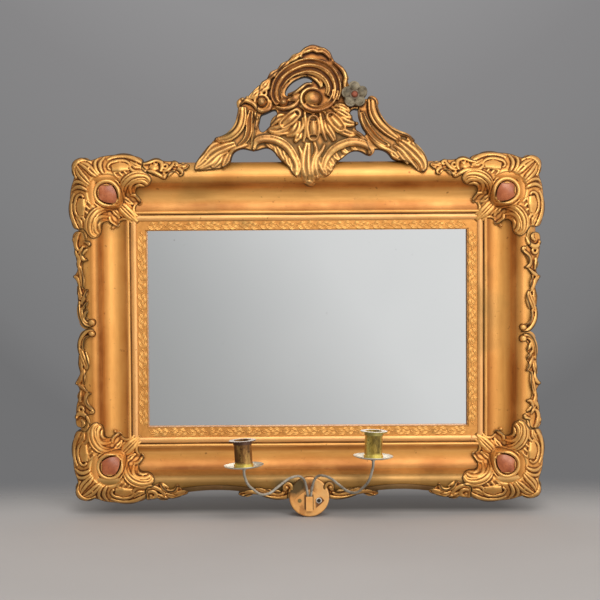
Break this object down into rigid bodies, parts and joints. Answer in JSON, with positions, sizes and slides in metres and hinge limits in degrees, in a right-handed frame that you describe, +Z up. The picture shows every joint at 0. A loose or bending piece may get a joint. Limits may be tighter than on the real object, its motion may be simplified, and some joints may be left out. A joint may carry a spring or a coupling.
{
  "type": "girandole mirror",
  "caption": "Gilt rococo wall mirror with carved corners, a pierced crest and a pair of candle branches that lift out of a keeper at its foot.",
  "frame": {"origin": "middle of the backboards' rear face, which lies on the wall, behind the middle of the glass", "axes": "+X to the right, +Z up, +Y into the wall; the front faces -Y"},
  "size_m": [0.6206, 0.1518, 0.6144],
  "materials": {
    "gilt_moulding": "water-gilt over gesso and bole, satin",
    "gilt_composition": "gilt pressed composition, satin",
    "gilt_carving": "gilt carving with brown patina in the hollows",
    "cabochon_red": "red-brown glazed composition, satin",
    "bare_rosette": "grey ungilt composition with a red-brown boss",
    "gilt_roundel": "gilt, smooth",
    "pine": "old bare pine",
    "old_iron": "dark forged iron",
    "iron_wire": "dull grey drawn wire",
    "aged_brass": "tarnished thin brass",
    "tinned_sheet": "dull tinned sheet",
    "looking_glass": "silvered, slightly aged"
  },
  "bodies": {
    "frame": {"apron_scroll_left": "gilt_carving", "apron_scroll_right": "gilt_carving", "arm_keeper": "aged_brass", "backboard_bottom": "pine", "backboard_middle": "pine", "backboard_nails": "old_iron", "backboard_top": "pine", "bottom_rail": "gilt_moulding", "bracket_plate": "aged_brass", "bracket_screw_left": "aged_brass", "bracket_screw_right": "tinned_sheet", "bracket_washer": "tinned_sheet", "cabochon_bottom_left": "cabochon_red", "cabochon_bottom_right": "cabochon_red", "cabochon_top_left": "cabochon_red", "cabochon_top_right": "cabochon_red", "corner_ornament_bottom_left": "gilt_carving", "corner_ornament_bottom_right": "gilt_carving", "corner_ornament_top_left": "gilt_carving", "corner_ornament_top_right": "gilt_carving", "crest_batten_left": "pine", "crest_batten_right": "pine", "crest_centre": "gilt_carving", "crest_leg_left": "gilt_carving", "crest_leg_right": "gilt_carving", "crest_rosette": "bare_rosette", "crest_screws": "old_iron", "edge_bead_left": "gilt_carving", "edge_bead_right": "gilt_carving", "edge_trail_bottom_left": "gilt_carving", "edge_trail_bottom_right": "gilt_carving", "edge_trail_left_lower": "gilt_carving", "edge_trail_left_upper": "gilt_carving", "edge_trail_right_lower": "gilt_carving", "edge_trail_right_upper": "gilt_carving", "edge_trail_top_left": "gilt_carving", "edge_trail_top_right": "gilt_carving", "glazing_blocks": "pine", "hanger_screws": "old_iron", "hanger_strap": "old_iron", "left_rail": "gilt_moulding", "mirror_glass": "looking_glass", "mitre_keys": "pine", "right_rail": "gilt_moulding", "roundel": "gilt_roundel", "sight_strip_bottom": "gilt_composition", "sight_strip_left": "gilt_composition", "sight_strip_right": "gilt_composition", "sight_strip_top": "gilt_composition", "top_rail": "gilt_moulding"},
    "hanger_ring": {"hanger_ring": "old_iron"},
    "candle_branch": {"arm_tang": "iron_wire", "candle_arm_left": "iron_wire", "candle_arm_right": "iron_wire", "candle_cup_left": "aged_brass", "candle_cup_right": "aged_brass", "cup_rim_left": "aged_brass", "cup_rim_right": "aged_brass", "drip_pan_left": "tinned_sheet", "drip_pan_right": "tinned_sheet"}
  },
  "joints": [
    {"name": "hanger_ring_swing", "type": "hinge", "parent": "frame", "child": "hanger_ring", "pos_m": [0, -0.0033, 0.196], "axis": [1, 0, 0], "range_deg": [0, 180]},
    {"name": "candle_branch_lift", "type": "slide", "parent": "frame", "child": "candle_branch", "axis": [0, 0, 1], "range_m": [0, 0.02]}
  ]
}
